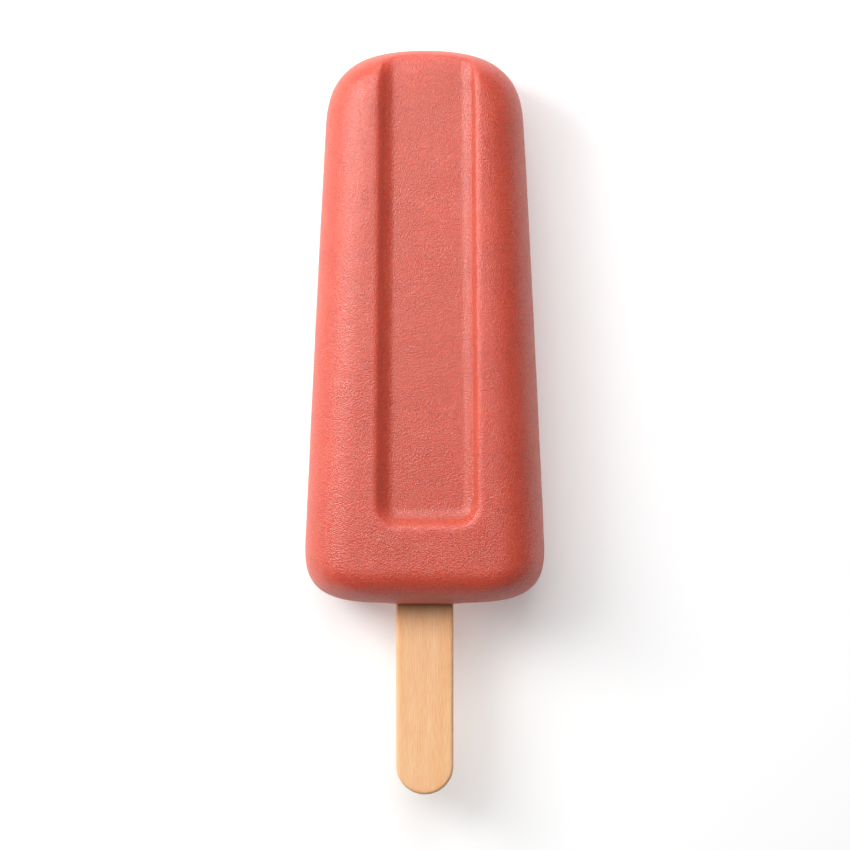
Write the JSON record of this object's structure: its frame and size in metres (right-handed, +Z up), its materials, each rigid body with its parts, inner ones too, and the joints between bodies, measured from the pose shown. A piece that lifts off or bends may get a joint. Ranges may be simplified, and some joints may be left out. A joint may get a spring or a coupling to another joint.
{
  "type": "ice pop",
  "caption": "Ice pop: a tapered bar of smooth frozen fruit ice with a long sunken panel in each face, on a flat wooden stick. It lies on its back.",
  "frame": {"origin": "on the surface that the pop lies on, under the middle of its length and width", "axes": "+X across the bar, +Y along it from the stick to the rounded tip, +Z up, out of the face that shows"},
  "size_m": [0.0416, 0.1298, 0.0226],
  "materials": {
    "fruit_ice": "satin",
    "birch_wood": "matte"
  },
  "bodies": {
    "root": {"frozen_bar": "fruit_ice", "stick": "birch_wood"}
  },
  "joints": []
}
